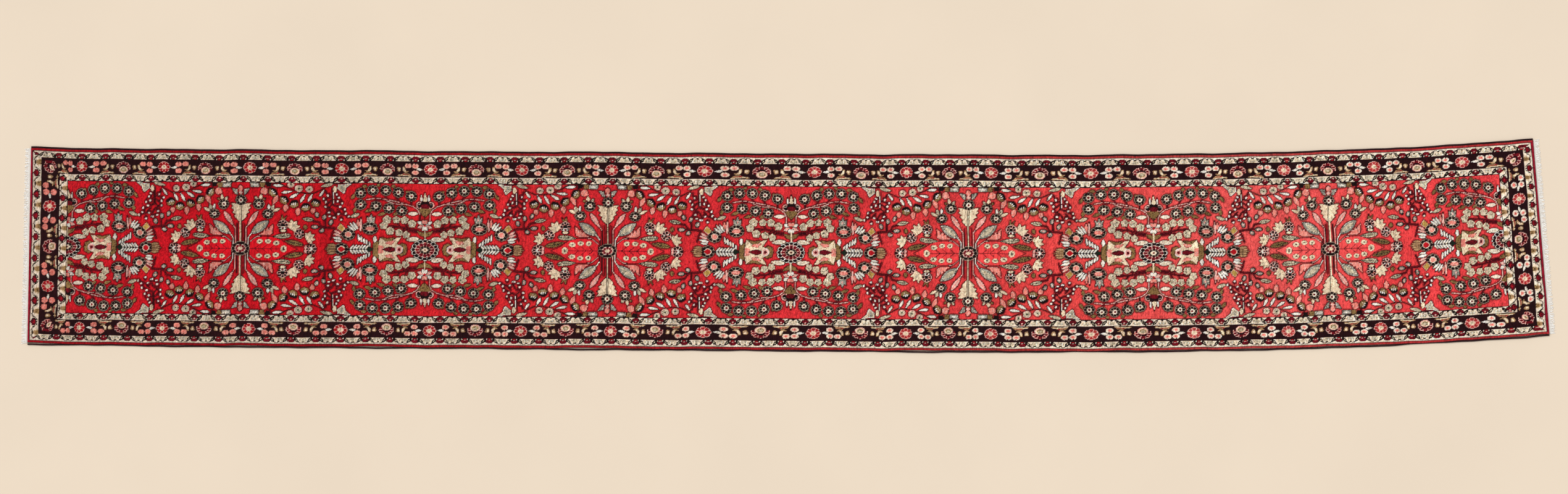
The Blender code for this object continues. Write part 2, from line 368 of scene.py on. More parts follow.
def draw_shrub(d):
    """The little tree between compartment and medallion, hanging from the border."""
    d.patch([(300, 270), (320, 254), (327, 232), (349, 249), (347, 266), (331, 262)], "sage", "white")
    d.leaf((338, 264), (331, 241), 4, "grey")
    d.leaf((363, 259), (363, 230), 7.5, "cream", "dark")
    d.stroke([(363, 271), (348, 266), (331, 266)], 2.2, "maroon")
    d.stroke([(375, 251), (375, 183), (389, 170)], 3.6, "black")
    d.stroke([(370, 236), (370, 188)], 2, "white")
    for twig in ([(375, 184), (353, 175), (333, 165)], [(373, 205), (355, 200), (342, 190)],
                 [(375, 215), (392, 212), (404, 206)], [(378, 200), (392, 190), (400, 178)],
                 [(352, 212), (340, 205), (334, 196)], [(389, 170), (372, 160), (360, 140)],
                 [(390, 222), (398, 230), (400, 240)]):
        d.stroke(twig, 3, "maroon", "dark", 1)
    d.stroke([(353, 163), (338, 146), (315, 138)], 3, "maroon", "dark", 1.2)
    d.stroke([(389, 170), (396, 150), (400, 122)], 3, "maroon", "dark", 1.2)
    d.stroke([(363, 86), (394, 88), (431, 92)], 3, "maroon", "dark", 1.2)
    d.stroke([(401, 87), (402, 120)], 2.8, "maroon", "dark", 1.2)
    d.stroke([(414, 88), (426, 110), (449, 114)], 2.6, "maroon", "dark", 1.2)
    d.stroke([(363, 86), (372, 66), (380, 40)], 2.2, "maroon", "dark", 1.2)
    for at, turn in (((351, 212), 0), ((338, 190), 10), ((326, 165), 0), ((310, 136), 20), ((337, 124), 90),
                     ((363, 132), 60), ((407, 206), 190), ((399, 175), 170), ((386, 154), 120),
                     ((368, 132), 60), ((389, 222), 150), ((356, 196), 0), ((346, 176), 20),
                     ((384, 138), 80), ((322, 150), 40), ((398, 192), 200), ((358, 226), 30),
                     ((350, 148), 60)):
        draw_bud(d, at, turn)
    for at, rx, ry, turn in (((405, 131), 6.5, 9.5, 10), ((434, 141), 7, 10, -20), ((378, 110), 7, 10, 20),
                             ((442, 91), 12, 6.5, 0), ((415, 76), 9, 7, -30)):
        d.oval(at, rx, ry, "grey", "black", turn, 2.8)
        d.oval(at, rx * 0.4, ry * 0.4, "pink", turn=turn)
    d.leaf((447, 119), (491, 125), 7, "sage", "black", vein="green")


def draw_spandrel(d):
    """What hangs from the border between shrub and medallion: an arch, small flowers and white leaves."""
    arch = [(363, 272), (394, 259), (419, 242), (447, 230), (482, 230), (520, 239), (563, 257), (588, 271)]
    d.stroke(arch, 3.2, "black")
    d.stroke([(606, 274), (624, 251), (633, 238)], 3, "maroon", "dark", 1.2)
    d.leaf((370, 268), (418, 257), 6, "sage", "dark", edge_width=1.4)
    for at, r in (((466, 246), 14), ((508, 250), 16), ((540, 264), 13)):
        d.oval(at, r, r * 0.9, "pink", "dark", edge_width=1.4)
        d.oval(at, r - 2.8, r * 0.9 - 2.8, "sage")
        d.oval(at, 4, 3.4, "green")
    for base, tip, half in (((406, 244), (426, 217), 4.5), ((454, 228), (472, 195), 5),
                            ((482, 228), (503, 193), 5), ((508, 231), (544, 210), 5.5),
                            ((533, 238), (577, 231), 5), ((570, 259), (610, 262), 6)):
        d.leaf(base, tip, half, "white", "black", belly=0.6)


def draw_pansy(d, at, turn):
    """A round flower, dark above and olive below, with pale flecks."""
    dx, dy = d.from_point(at, turn)
    r = np.hypot(dx / 21, dy / 18)
    scallop = 1 - 0.1 * np.abs(np.sin(2.5 * np.arctan2(dy, dx)))
    d.dye[r < scallop + 0.03] = CODE["dark"]
    d.dye[r < scallop - 0.1] = CODE["olive"]
    d.dye[(r < scallop - 0.1) & (dy > 1)] = CODE["black"]
    a = np.radians(turn)
    for px, py, w, h in ((-6, 1, 2.2, 5), (2, 2, 2.2, 5.5), (9, 3, 2, 3.6), (-2, -8, 4.5, 1.6),
                         (7, -7, 2.4, 1.5)):
        spot = (at[0] + px * np.cos(a) - py * np.sin(a), at[1] + px * np.sin(a) + py * np.cos(a))
        d.oval(spot, w, h, "white" if py > 0 else "sage", turn=turn + 20)


def draw_pansies(d):
    """The row of pansies under the spandrel, with pink drops between them."""
    for base, tip, half in (((450, 169), (452, 146), 9.5), ((510, 170), (512, 138), 9.5),
                            ((559, 183), (564, 153), 10), ((594, 221), (612, 184), 9),
                            ((635, 244), (661, 228), 14)):
        d.leaf(base, tip, half, "salmon", belly=0.4)
    for at, turn in (((442, 190), 10), ((481, 173), -10), ((527, 185), -20), ((568, 201), 40),
                     ((612, 232), 50)):
        draw_pansy(d, at, turn)
    d.patch([(616, 271), (641, 271), (638, 254), (623, 256)], "black")
    d.patch([(642, 271), (664, 271), (662, 253), (646, 253)], "olive", "dark", 1.2)
    d.patch([(666, 269), (703, 270), (699, 252), (667, 252)], "grey", "dark", 1.2)
    d.leaf((671, 261), (698, 262), 3, "white")


def draw_maple(d, at, size, turn):
    """A cream maple leaf: pointed lobes from one stalk."""
    a0 = np.radians(turn)
    for k, reach in ((-2, 0.75), (-1, 0.95), (0, 1.0), (1, 0.95), (2, 0.75)):
        a = a0 + 0.62 * k
        tip = (at[0] + size * reach * np.cos(a), at[1] + size * reach * np.sin(a))
        d.leaf(at, tip, size * 0.2, "cream", "dark", 0.5, 1.8)
    d.oval((at[0] + size * 0.3 * np.cos(a0), at[1] + size * 0.3 * np.sin(a0)), size * 0.42, size * 0.4,
           "cream")
    d.oval((at[0] + size * 0.42 * np.cos(a0), at[1] + size * 0.42 * np.sin(a0)), size * 0.22, size * 0.12,
           "sage", turn=turn)


def draw_carnations(d):
    """Black carnations and cream maple leaves between the pansies and the medallion's mandorla."""
    draw_maple(d, (537, 85), 38, 128)
    draw_maple(d, (474, 42), 34, 150)
    d.rosette((505, 64), 20, petals=7, rim="pink", heart="black", ring=0.0, core=0.2, spoke=2.2)
    for spot in ((497, 69), (512, 66), (505, 54)):
        d.oval(spot, 2.6, 2.2, "white")
    d.rosette((459, 0), 23, 24, petals=8, rim="pink", heart="white", ring=0.0, core=0.36, spoke=2.2)
    d.oval((463, 0), 4.5, 5, "maroon")
    d.leaf((478, 0), (480, 16), 5, "pink", "dark")
    d.patch([(563, 116), (556, 135), (568, 122), (574, 138), (578, 116)], "olive", "dark")
    d.rosette((570, 98), 21, petals=8, rim="pink", heart="black", ring=0.0, core=0.3, spoke=2.4)
    d.oval((570, 85), 10, 7.5, "white", "black")
    d.oval((571, 86), 5, 4, "maroon")
    d.oval((570, 74), 11, 5, "cream", "black")
    d.oval((481, 90), 7, 9, "olive")


def draw_medallion(d):
    """The star: a rosette, a mandorla to each side and a bunch of stems up and down."""
    # the mandorla
    rim = [(515, 0), (555, 19), (583, 40), (616, 49), (653, 49), (681, 44), (703, 29), (703, 0)]
    d.patch(rim, "rose", "black")
    d.leaf((488, 18), (563, 33), 9.5, "olive", "dark", vein="green")
    d.leaf((540, 56), (612, 50), 9, "sage", "black", belly=0.35, vein="green")
    d.stroke([(580, 0), (711, 0)], 3.5, "maroon", "dark", 1.2)
    for x in (606, 636, 666):
        d.stroke([(x, 16), (x + 18, 1)], 2.4, "dark")
    for at, rx, ry in (((568, 3), 12, 11), ((598, 25), 13, 9.5), ((632, 31), 12, 9), ((665, 30), 11.5, 9.5)):
        d.oval(at, rx, ry, "cream", "dark", edge_width=1.2)
        d.oval(at, rx * 0.5, ry * 0.5, "sage")
        d.oval(at, rx * 0.25, ry * 0.3, "green")
    # stems and what they carry, from the mandorla upwards
    d.stroke([(703, 29), (679, 49), (662, 52)], 2.2, "pink", "dark", 2)
    saw = [(622, 90), (627, 76), (633, 88), (639, 72), (647, 82), (650, 68)]
    d.patch([(610, 100), (614, 64), (626, 57), (670, 56)] + saw[::-1], "salmon", "dark")
    d.leaf((699, 62), (628, 114), 17, "grey", "black", belly=0.5)
    d.leaf((691, 69), (640, 106), 9, "sage", belly=0.5)
    d.stroke([(699, 62), (711, 44), (711, 16)], 3, "white", "dark", 2)
    d.leaf((714, 92), (672, 154), 9, "pink", "dark", belly=0.6)
    d.stroke([(674, 150), (690, 128), (714, 96)], 2.6, "salmon")
    d.stroke([(714, 94), (720, 84), (720, 16)], 3, "pink", "dark", 2)
    d.stroke([(729, 100), (729, 16)], 3, "crimson", "dark", 2)
    # the oak leaf on the cross axis
    lobes = [(726, 181), (716, 185), (700, 187), (709, 174), (702, 168), (715, 158), (708, 149), (722, 140),
             (717, 132)]
    d.patch([(742, 178), (734, 188)] + lobes + [(730, 118), (742, 106)], "cream", "black")
    d.stroke([(742, 186), (742, 16)], 9, "black")
    d.stroke([(742, 180), (742, 16)], 3, "cream")
    # rosettes with crowns
    for at, ry in (((669, 184), 21), ((631, 143), 20)):
        d.rosette(at, 22.5, ry)
    d.leaf((662, 202), (660, 223), 6, "cream", "dark")
    d.leaf((675, 202), (685, 213), 5, "sage", "dark")
    d.leaf((651, 201), (642, 208), 4.5, "olive", "dark")
    d.leaf((612, 155), (584, 167), 5.5, "cream", "dark")
    d.leaf((616, 160), (609, 182), 7, "sage", "dark")
    d.leaf((628, 163), (630, 184), 5, "white", "dark")
    # the topmost flower
    d.patch([(705, 246), (727, 243), (729, 220), (720, 224)], "grey", "black")
    d.oval((742, 246), 9, 12, "salmon", "dark")
    d.oval((742, 229), 8, 6, "pink", "dark", edge_width=1.4)
    d.rosette((742, 198), 23, 22)
    # the rosette in the middle
    d.rosette((742, 0), 39, 30, petals=10, ring=0.6, core=0.0, spoke=2)
    d.rosette((742, 0), 23, 18, petal="maroon", rim="pink", heart="cream", petals=8, ring=0.3, core=0.4,
              spoke=1.2)


def draw_field():
    """A quarter of a compartment and of a star, from the long axis to the border."""
    d = Drawing(742, 271, "red")
    for part in (draw_spandrel, draw_pansies, draw_shrub, draw_carnations, draw_medallion, draw_leaf_spray,
                 draw_vase, draw_axis_feather, draw_bouquet, draw_spray, draw_lily, draw_cross_flower,
                 draw_compartment_rosette):
        part(d)
    d.outline("red", "dark", 2)
    shade = np.where(d.dye == CODE["red"], CODE["red"], CODE["white"])
    d.dye, design = shade, d.dye
    d.outline("red", "deep", 3)
    d.dye = np.where(design == CODE["red"], d.dye, design)
    return d


# Borders. A repeat runs from (0, 0), at the middle of its first flower on the outer side, towards the field.
GUARD = (50, 28)
VINE = (42, 34)
MAIN = (187, 63)


def draw_guard():
    """Half a repeat of a guard border: from a red flower to the cup under the next arch."""
    d = Drawing(*GUARD, "ivory")
    d.oval((46, 18), 14, 8, "cream")
    d.patch([(36, 10), (42, 14), (46, 9), (51, 13), (51, 21), (44, 22), (38, 18)], "sage")
    d.stroke([(44, 14), (43, 20)], 2.6, "white")
    d.stroke([(30, 6), (36, 3.5), (45, 3.5)], 3, "green")
    d.oval((50, 7), 5, 3, "black")
    d.stroke([(36, 18), (44, 23), (51, 22)], 2.6, "grey")
    d.leaf((12, 28), (34, 3), 6.4, "black", belly=0.5)
    d.leaf((19, 20), (28, 10), 1.6, "sage", belly=0.5)
    d.oval((0, 13), 13, 7.5, "maroon", "brown", edge_width=2)
    d.stroke([(4, 19), (9, 25)], 3, "brown")
    d.oval((0, 19), 3.5, 2.6, "pink")
    d.stroke([(0, 25), (5, 25)], 2.4, "crimson")
    return d


def draw_vine():
    """Half a repeat of a guard border across the ends: a black vine swings round flower and leaf."""
    d = Drawing(*VINE, "ivory")
    d.oval((42, 24), 16, 11, "cream")
    d.leaf((42, 36), (42, 9), 9, "tan", "cream", belly=0.55)
    d.leaf((42, 22), (32, 31), 4, "olive")
    d.stroke([(0, 28), (6, 28), (12, 25), (17, 18), (21, 11), (27, 6), (32, 5), (37, 9), (42, 7)], 4.6,
             "black")
    for at in ((5, 28), (14.5, 21.5), (23, 9.5), (34, 6)):
        d.oval(at, 2.2, 1.4, "sage")
    d.oval((0, 13), 12, 9, "maroon", "brown", edge_width=2.6)
    d.leaf((0, 12), (0, 2), 6, "maroon", "brown")
    d.oval((3, 14), 2.6, 2.2, "crimson")
    return d


def draw_end_stripe():
    """The same red line where the pile ends, darker and narrower."""
    d = Drawing(10, 12, "brown")
    d.patch([(0, -4), (10, -4), (10, 6), (0, 6)], "crimson_dark")
    return d


def draw_palmette(d, at):
    """A fan of dark red petals round a pale heart that faces the field."""
    d.rosette(at, 32, 23, petal="maroon", rim="pink", petals=11, ring=0.45, core=0.5, spoke=1.8,
              heart="brown")
    below = at[1] + 9
    d.patch([(at[0] - 34, below), (at[0] + 9, below), (at[0] + 9, 60), (at[0] - 34, 60)], "brown")
    d.oval((at[0], at[1] + 10), 20, 14, "pink", "brown", edge_width=1.6)
    d.oval((at[0], at[1] + 9), 17, 11, "cream")
    d.oval((at[0], at[1] + 11), 12.5, 7, "tan")
    d.oval((at[0], at[1] + 8), 8, 5, "sage", "olive", edge_width=2)


def draw_blossom(d, at):
    """A small round flower with a pale rim and a notch towards the next one."""
    d.oval(at, 14, 10, "blossom")
    d.oval((at[0] + 1, at[1] + 0.5), 8, 5.6, "salmon")
    d.oval((at[0] + 1, at[1] + 0.5), 3, 2.2, "heart")
    d.stroke([(at[0] - 2, at[1] - 11), (at[0] - 1, at[1] - 7)], 3, "brown")


def draw_main():
    """Half a repeat of the main border: a red rosette, small flowers and leaves, and a palmette."""
    d = Drawing(*MAIN, "brown")
    d.rosette((0, 29), 27.5, 22.5, petal="stripe", rim="pink", petals=8, ring=0.42, core=0.0, spoke=1.8)
    d.oval((0, 29), 10, 8, "cream")
    d.oval((0, 29), 4.5, 3.4, "sage")
    for at in ((66, 16.5), (66, 43), (97, 15.5)):
        draw_blossom(d, at)
    d.leaf((60, 28), (34, 31), 4.4, "white")
    d.patch([(95, 38), (103, 44), (113, 43), (121, 32), (121, 20), (112, 20), (111, 32), (104, 37)], "tan")
    d.patch([(113, 24), (119, 22), (120, 33), (112, 40), (105, 40)], "cream")
    d.patch([(128, 24), (137, 21), (146, 24), (144, 34), (139, 41), (130, 36)], "tan")
    d.patch([(131, 24), (140, 24), (140, 33), (133, 34)], "cream")
    d.patch([(84, 57), (92, 48), (116, 45), (128, 52), (148, 54), (140, 59), (112, 55)], "tan", "brown", 1.2)
    d.stroke([(84, 58), (112, 55.5), (138, 53)], 2.8, "cream")
    d.stroke([(96, 51), (120, 49)], 3, "crimson_dark")
    draw_palmette(d, (187, 31))
    return d


def draw_edge_stripe():
    """The thin red line between the overcast edge and the first guard's dark line."""
    d = Drawing(10, 12, "stripe")
    d.patch([(0, -2), (10, -2), (10, 1.6), (0, 1.6)], "brown")
    d.patch([(0, 9), (10, 9), (10, 14), (0, 14)], "brown")
    return d


# Where things stand along the rug, in metres from its middle. The weaver measured by eye, so no two
# steps are equal. First the palmettes and rosettes of the main border, in turn.
FLOWERS = (-3.007, -2.881, -2.707, -2.541, -2.373, -2.189, -2.007, -1.814, -1.625, -1.452, -1.264, -1.077,
           -0.893, -0.710, -0.529, -0.333, -0.096, 0.119, 0.309, 0.496, 0.670, 0.841, 1.042, 1.251,
           1.460, 1.669, 1.857, 2.049, 2.230, 2.422, 2.599, 2.787, 3.010)
# Middles of compartments and stars, in turn
STARS = (-2.934, -2.228, -1.473, -0.727, 0.023, 0.747, 1.506, 2.228, 2.942)
GUARD_FLOWERS = ((-3.07, -2.684, -2.413, -2.018, -1.004, -0.014, 0.969, 1.590, 2.345, 3.04),
                 (-31, -27, -24, -20, -10, 0, 10, 16, 24, 31))  # places of some red flowers, and their count
END_FLOWER_STEP = 163.5         # mm across the ends from palmette to rosette
# For the left and the right end: where a flower of each vine stands across the rug, and the step to the
# next leaf, in mm
VINE_FLOWERS = {0: ((0, 42), (0, 42)), 1: ((36, 43.5), (-16, 37.5)), 3: ((34, 41), (-16, 43.5))}
LINE = 2.6                      # mm, the dark line between two bands

STRAYS = (("sage", "green", 0.05), ("sage", "cream", 0.25), ("cream", "tan", 0.1), ("olive", "brown", 0.12),
          ("grey", "green", 0.08), ("grey", "ivory", 0.12), ("salmon", "pink", 0.2), ("pink", "salmon", 0.2),
          ("white", "cream", 0.15), ("ivory", "cream", 0.25), ("maroon", "brown", 0.15),
          ("tan", "olive", 0.12), ("gold", "olive", 0.15), ("red", "deep", 0.12))

# The field's red along the rug: the dyer's lots differ
ABRASH_AT = (-3090, -2400, -1900, -1200, -700, 0, 700, 1200, 2000, 2500, 3090)
ABRASH = ("#CC1C28", "#C4101E", "#C4121E", "#D0262C", "#CE262E", "#DA3036", "#E03E40", "#EA4A48", "#F05A58",
          "#EE4446", "#E84246")
# and so do the pale wools of the small flowers
BLOSSOM_AT = (-3090, -1900, -1200, 0, 3090)
BLOSSOM = ("#D07468", "#DC9080", "#E4B09C", "#F0D0BA", "#F6E2D0")
PALE_DYES = ("white", "bone", "ivory", "cream", "pink", "salmon", "sage", "tan")
PALE_PAINTED_SHADE = (0.72, 0.74, 0.80, 0.95, 1.06)      # painted shade along the rug: these pale wools darker towards the left end, a little brighter at the right end


def look_up(drawing, x, y):
    i = np.clip((x / STEP).astype(int), 0, drawing.dye.shape[0] - 1)
    j = np.clip((y / STEP).astype(int), 0, drawing.dye.shape[1] - 1)
    return drawing.dye[i, j]


def there_and_back(count):
    """0 at even counts and 1 at odd ones, in a straight line between them."""
    return 1 - np.abs(count % 2 - 1)


def knot_dyes(u, v):
    """The dye of each knot at (u, v), in mm from the middle of the rug."""
    side_widths, end_widths = np.multiply(SIDE_BANDS, 1000), np.multiply(END_BANDS, 1000)
    from_side, from_end = 1000 * HALF_PILE - np.abs(v), 1000 * HALF_LENGTH - np.abs(u)
    field = draw_field()
    star = there_and_back(np.interp(u / 1000, STARS, np.arange(len(STARS))))
    across = np.abs(v) / (1000 * HALF_PILE - side_widths.sum())
    dyes = look_up(field, star * field.length, across * field.width)
    stripe, guard, vine, main = draw_edge_stripe(), draw_guard(), draw_vine(), draw_main()
    sides, ends = (stripe, guard, main, guard), (draw_end_stripe(), vine, main, vine)
    guard_phase = there_and_back(2 * np.interp(u / 1000, *GUARD_FLOWERS))
    main_phase = there_and_back(np.interp(u / 1000, FLOWERS, np.arange(len(FLOWERS))) + 1)
    inside = np.ones(u.shape, bool)
    side_edge, end_edge = 0, 0
    for n, (side_width, end_width) in enumerate(zip(side_widths, end_widths)):
        side_depth, end_depth = (from_side - side_edge) / side_width, (from_end - end_edge) / end_width
        ring = inside & ((side_depth < 1) | (end_depth < 1))
        on_end = ring & (end_depth < side_depth)
        main_band = n == 2
        along_side = main_phase if main_band else guard_phase
        if main_band:
            along_end = there_and_back(np.abs(v) / END_FLOWER_STEP + 1)
        else:
            (left_start, left_step), (right_start, right_step) = VINE_FLOWERS[n]
            left = there_and_back((v - left_start) / left_step)
            right = there_and_back((v - right_start) / right_step)
            along_end = np.where(u < 0, left, right)
        for part, drawing, along, depth, width, turned in (
            (ring & ~on_end, sides[n], along_side, side_depth, side_width, n == 3),
            (on_end, ends[n], along_end, end_depth, end_width, False),
        ):
            across = 1 - depth if turned else depth
            dyes[part] = look_up(drawing, along * drawing.length, across * drawing.width)[part]
            if n:
                line = (1 - depth) * width < LINE
                dyes[part & line] = CODE["brown"]
        inside &= ~ring
        side_edge, end_edge = side_edge + side_width, end_edge + end_width
    return dyes


def mottle(dyes, rng):
    """Stray knots inside the motifs, tied in the neighbouring dye."""
    for name, stray, share in STRAYS:
        swapped = (dyes == CODE[name]) & (rng.random(dyes.shape) < share)
        dyes[swapped] = CODE[stray]


def knot_colours(u, v, dyes):
    """Linear colours of the knots: dyes, abrash, painted shade on the pale wools towards the left end,
    streaks from row to row and each knot's own tone.
    """
    rng = np.random.default_rng(11)
    mottle(dyes, rng)
    colours = linear(list(DYES.values()))[dyes]
    abrash = np.stack([np.interp(u[:, 0], ABRASH_AT, channel) for channel in linear(ABRASH).T], -1)
    blossom = np.stack([np.interp(u[:, 0], BLOSSOM_AT, channel) for channel in linear(BLOSSOM).T], -1)
    for dye, ramp, strength in (("red", abrash, 1.0), ("deep", abrash, 0.5), ("rose", abrash, 1.15),
                                ("stripe", abrash, 0.5), ("blossom", blossom, 1.0)):
        where = dyes == CODE[dye]
        colours[where] = (strength * np.broadcast_to(ramp[:, None], colours.shape))[where]
    pale = np.isin(dyes, [CODE[name] for name in PALE_DYES])
    # painted shade: the pale wools dimmed towards the left end
    colours *= np.where(pale, np.interp(u, BLOSSOM_AT, PALE_PAINTED_SHADE), 1)[..., None]
    rows = np.arange(len(u))
    streak = 1 + 0.06 * waver(rows, 31, 5) + 0.05 * waver(rows, 9, 6)
    skein = 1 + 0.05 * waver(u / 180 + 0.4 * np.sin(v / 70), 1, 7)
    own = rng.normal(0, 1, u.shape)
    pulled = sum(np.roll(own, k, axis=1) for k in range(-2, 3)) / 5**0.5
    tone = streak[:, None] * skein * (1 + 0.1 * own + 0.13 * pulled)
    return np.clip(colours * tone[..., None], 0, 1)


def rug_grid():
    """Every corner between knots: its place, its distances along and across, and its wool's colour."""
    u = np.linspace(-HALF_LENGTH, HALF_LENGTH, ROWS + 1)[:, None] * np.ones(COLUMNS + 1)
    v = np.linspace(-HALF_PILE, HALF_PILE, COLUMNS + 1) * np.ones((ROWS + 1, 1))
    rng = np.random.default_rng(3)
    dyes = knot_dyes(1000 * u, 1000 * v)
    dark = np.isin(dyes, [CODE[name] for name in ("black", "brown", "dark", "green")])
    height = PILE_TOP - rng.uniform(0, 0.0005, u.shape) - SHORN * dark
    edge = np.minimum(HALF_LENGTH - np.abs(u), HALF_PILE - np.abs(v))
    height -= 0.0012 * np.clip(1 - edge / 0.004, 0, 1) ** 2
    crooked = v + 0.0012 * waver(u, 0.45, 8) * np.abs(v) / HALF_PILE + 0.0008 * waver(u, 0.17, 9)
    shifted = u + 0.0012 * waver(v, 0.23, 10) + 0.0006 * waver(u + v, 0.31, 12)
    shifted = np.where(np.abs(u) > HALF_LENGTH - 0.002, u, shifted)
    colour = knot_colours(1000 * u, 1000 * v, dyes)
    return {"at": place(shifted, crooked, height), "u": u, "v": v, "colour": colour}


# Meshes


def mesh_piece(name, points, quads, others, uv, colours=None):
    """A mesh from arrays: quads, and other faces as lists, with a UV map in metres and the wool's colour."""
    mesh = bpy.data.meshes.new(name)
    sizes = np.array([4] * len(quads) + [len(f) for f in others])
    loops = np.concatenate([np.ravel(quads)] + [np.asarray(f) for f in others]).astype(np.int32)
    mesh.vertices.add(len(points))
    mesh.vertices.foreach_set("co", np.ravel(points).astype(np.float32))
    mesh.loops.add(len(loops))
    mesh.loops.foreach_set("vertex_index", loops)
    mesh.polygons.add(len(sizes))
    mesh.polygons.foreach_set("loop_start", np.concatenate(([0], np.cumsum(sizes)[:-1])).astype(np.int32))
    mesh.update(calc_edges=True)
    layer = mesh.uv_layers.new(name="along_and_across")
    layer.data.foreach_set("uv", np.ravel(uv[loops]).astype(np.float32))
    if colours is not None:
        attribute = mesh.color_attributes.new("wool", "FLOAT_COLOR", "POINT")
        rgba = np.concatenate((colours, np.ones((len(colours), 1))), 1)
        attribute.data.foreach_set("color", np.ravel(rgba).astype(np.float32))
    mesh.validate()
    return mesh


def link(name, data):
    """A new object in the scene."""
    made = bpy.data.objects.new(name, data)
    bpy.context.scene.collection.objects.link(made)
    return made


def show(name, mesh, material, slot, section, *nodes):
    """A piece of the rug in place of the named nodes, riding on its section's body where the section has one.
    """
    piece = link(name, mesh)
    mesh.materials.clear()
    mesh.materials.append(material)
    attach(piece, section)
    for node in nodes:
        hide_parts(node)
    return piece


def slab_mesh(name, at, u, v, other_z, colours=None, upwards=True):
    """A closed mesh: one side is the grid of points at, the other is flat at other_z."""
    rows, columns = at.shape[:2]
    index = np.arange(rows * columns).reshape(rows, columns)
    flat = rows * columns + np.arange(rows * 2).reshape(rows, 2)
    edges = at[:, [0, -1]].copy()
    edges[..., 2] = other_z
    points = np.concatenate((at.reshape(-1, 3), edges.reshape(-1, 3)))
    quads = np.concatenate([
        np.stack((index[:-1, :-1], index[1:, :-1], index[1:, 1:], index[:-1, 1:]), -1).reshape(-1, 4),
        np.stack((flat[:-1, 1], flat[1:, 1], flat[1:, 0], flat[:-1, 0]), -1),
        np.stack((index[1:, 0], index[:-1, 0], flat[:-1, 0], flat[1:, 0]), -1),
        np.stack((index[:-1, -1], index[1:, -1], flat[1:, 1], flat[:-1, 1]), -1),
    ])
    ends = [[*index[0], flat[0, 1], flat[0, 0]], [*index[-1, ::-1], flat[-1, 0], flat[-1, 1]]]
    if not upwards:
        quads, ends = quads[:, ::-1], [face[::-1] for face in ends]
    uv = np.stack((u, v), -1)
    uv = np.concatenate((uv.reshape(-1, 2), uv[:, [0, -1]].reshape(-1, 2)))
    if colours is not None:
        colours = np.concatenate((colours.reshape(-1, 3), colours[:, [0, -1]].reshape(-1, 3)))
    return mesh_piece(name, points, quads, ends, uv, colours)


def attach(piece, section):
    """Rides on the body of its section; a piece of a fold section only has its transform applied."""
    if section.endswith("fold"):
        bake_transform(piece)
    else:
        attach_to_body(piece, section)


# Lengths of the rug: what rides on each body, and what lies between two
SECTIONS = {
    "left_end": (-HALF_LENGTH, -1.9),
    "left_fold": (-1.9, -1.05),
    "middle": (-1.05, 1.05),
    "right_fold": (1.05, 1.9),
    "right_end": (1.9, HALF_LENGTH),
}
BODY_WORD = {"left_end": "left", "middle": "middle", "right_end": "right"}


def nearest_row(u):
    return round((u + HALF_LENGTH) / LENGTH * ROWS)


def nearest_column(v):
    return round((v + HALF_PILE) / (2 * HALF_PILE) * COLUMNS)


def body_node(pattern, section):
    """The node that a piece of this section stands for; the bends stand for none of their own."""
    return [pattern.format(BODY_WORD[section])] if section in BODY_WORD else []


def pile_piece(name, grid, us, vs, material, slot, section, nodes):
    """The knots between two rows and two columns, inside the pile's ends."""
    (u0, u1), (v0, v1) = us, vs
    part = np.s_[nearest_row(u0):nearest_row(u1) + 1, nearest_column(v0):nearest_column(v1) + 1]
    at, u, v, colour = (grid[key][part] for key in ("at", "u", "v", "colour"))
    return show(name, slab_mesh(name, at, u, v, PILE_FOOT, colour), material, slot, section, *nodes)


def make_pile(grid, wools):
    """The bands, each with two long sides and two ends, and the field in six lengths."""
    made = []
    u_out, v_out = HALF_LENGTH, HALF_PILE
    for band, slot, side_width, end_width in zip(BAND_NAMES, BAND_SLOTS, SIDE_BANDS, END_BANDS):
        u_in, v_in = u_out - end_width, v_out - side_width
        for side, vs in (("near", (-v_out, -v_in)), ("far", (v_in, v_out))):
            for section, (u0, u1) in SECTIONS.items():
                made.append(pile_piece(f"{band}_pile_{side}_{section}", grid,
                                       (max(u0, -u_out), min(u1, u_out)), vs, wools[slot], slot, section,
                                       body_node(f"{band}_{side}_{{}}", section)))
        for word, us in (("left", (-u_out, -u_in)), ("right", (u_in, u_out))):
            made.append(pile_piece(f"{band}_pile_across_{word}", grid, us, (-v_in, v_in), wools[slot], slot,
                                   f"{word}_end", [f"{band}_end_{word}"]))
        u_out, v_out = u_in, v_in
    for section, (u0, u1) in SECTIONS.items():
        nodes = body_node("field_pile_{}", section)
        halves = (("_1", u0, 0, nodes), ("_2", 0, u1, [])) if section == "middle" else (("", u0, u1, nodes),)
        for number, a, b, replaced in halves:
            made.append(pile_piece(f"field_pile_{section}{number}", grid, (max(a, -u_out), min(b, u_out)),
                                   (-v_out, v_out), wools["field_red"], "field_red", section, replaced))
    return made


def make_backs(grid, cotton_back):
    """The foundation with the backs of the knots: two sheets that meet in the middle of the rug."""
    made = []
    middle = ROWS // 2
    columns = np.arange(0, COLUMNS + 1, 2)
    ridge = np.where(np.arange(len(columns)) % 2, 0.0, 0.00025)
    for word, rows, nodes in (("left", np.arange(0, middle + 1, 2), ("foundation_left", "foundation_middle")),
                              ("right", np.arange(middle, ROWS + 1, 2), ("foundation_right",))):
        at, u, v, colour = (grid[key][np.ix_(rows, columns)].copy() for key in ("at", "u", "v", "colour"))
        at[..., 2] = ridge[None, :] + np.random.default_rng(21).uniform(0, 0.0002, at.shape[:2])
        name = f"foundation_{word}_half"
        mesh = slab_mesh(name, at, u, v, FOUNDATION_TOP, colour, upwards=False)
        made.append(show(name, mesh, cotton_back, "cotton", f"{word}_fold", *nodes))
    return made


